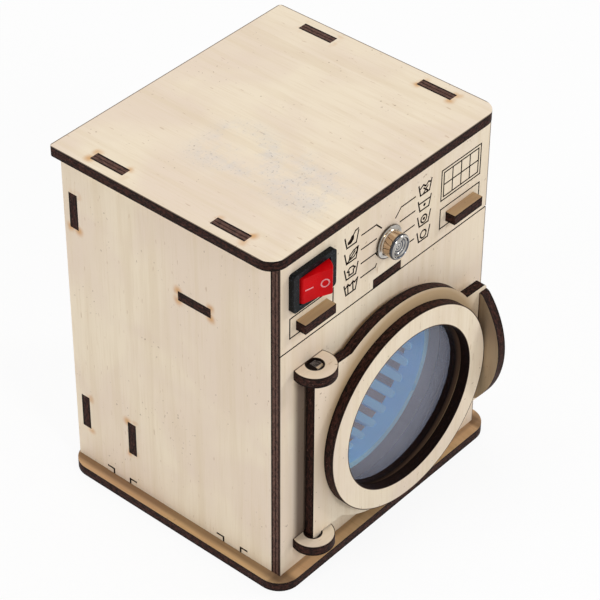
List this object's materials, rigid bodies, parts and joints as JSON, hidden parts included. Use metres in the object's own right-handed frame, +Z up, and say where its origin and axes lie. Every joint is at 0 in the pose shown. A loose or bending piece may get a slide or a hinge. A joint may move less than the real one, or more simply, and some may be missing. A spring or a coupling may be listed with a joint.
{
  "type": "toy washing machine",
  "caption": "Plywood toy washing machine with a hinged porthole door, a motor-driven drum, a programme knob, a rocker switch and drawer pulls.",
  "frame": {"origin": "under the middle of the cabinet, on the underside of the base plate", "axes": "+X to the right seen from the front, +Y to the back, +Z up"},
  "size_m": [0.0828, 0.0817, 0.1],
  "materials": {
    "plywood": "laser-cut birch plywood, unfinished faces and dark scorched edges",
    "window_pane": "hazy grey transparent sheet",
    "switch_black": "moulded black plastic, fine satin grain",
    "switch_red": "glossy red moulded plastic",
    "contact_brass": "plain sheet brass",
    "knob_chrome": "polished chrome",
    "steel": "plain steel",
    "drum_blue": "translucent light-blue moulded plastic",
    "hub_white": "white moulded plastic",
    "rotor_copper": "lacquered steel stack and copper",
    "motor_steel": "drawn zinc-plated steel",
    "motor_white": "off-white moulded plastic",
    "magnet": "dark grey ferrite",
    "holder_black": "moulded black plastic",
    "battery_green": "plain green sleeve with bare steel ends",
    "wire_red": "soft plastic insulation",
    "wire_black": "soft plastic insulation"
  },
  "bodies": {
    "cabinet": {"base_plate": "plywood", "top_plate": "plywood", "left_side_panel": "plywood", "right_side_panel": "plywood", "front_panel": "plywood", "back_panel": "plywood", "motor_plate": "plywood", "shelf": "plywood", "left_drawer_pull": "plywood", "right_drawer_pull": "plywood", "upper_hinge_lug": "plywood", "lower_hinge_lug": "plywood", "switch_housing": "switch_black", "switch_blades": "contact_brass", "motor_can": "motor_steel", "motor_cap": "motor_white", "motor_magnets": "magnet", "motor_tags": "contact_brass", "battery_holder": "holder_black", "front_battery": "battery_green", "rear_battery": "battery_green", "battery_contacts": "contact_brass", "holder_screws": "steel", "holder_nuts": "steel", "wire_battery_to_switch": "wire_red", "wire_switch_to_motor": "wire_red", "wire_battery_to_motor": "wire_black"},
    "door": {"door_plate": "plywood", "door_ring": "plywood", "door_window": "window_pane", "door_handle": "plywood"},
    "drum_unit": {"drum": "drum_blue", "drum_hub": "hub_white", "motor_shaft": "steel", "motor_rotor": "rotor_copper"},
    "knob_unit": {"knob": "knob_chrome", "knob_collar": "steel"},
    "rocker": {"switch_rocker": "switch_red"}
  },
  "joints": [
    {"name": "door_hinge", "type": "hinge", "parent": "cabinet", "child": "door", "pos_m": [-0.0282, -0.0361, 0.0372], "axis": [0, 0, -1], "range_deg": [-2, 116]},
    {"name": "drum_spin", "type": "hinge", "parent": "cabinet", "child": "drum_unit", "pos_m": [0, 0, 0.0364], "axis": [0, 1, 0], "continuous": true},
    {"name": "knob_turn", "type": "hinge", "parent": "cabinet", "child": "knob_unit", "pos_m": [0, -0.034, 0.0835], "axis": [0, -1, 0], "continuous": true},
    {"name": "rocker_tip", "type": "hinge", "parent": "cabinet", "child": "rocker", "pos_m": [-0.0277, -0.034, 0.0889], "axis": [0, 0, 1], "range_deg": [0, 36]}
  ]
}
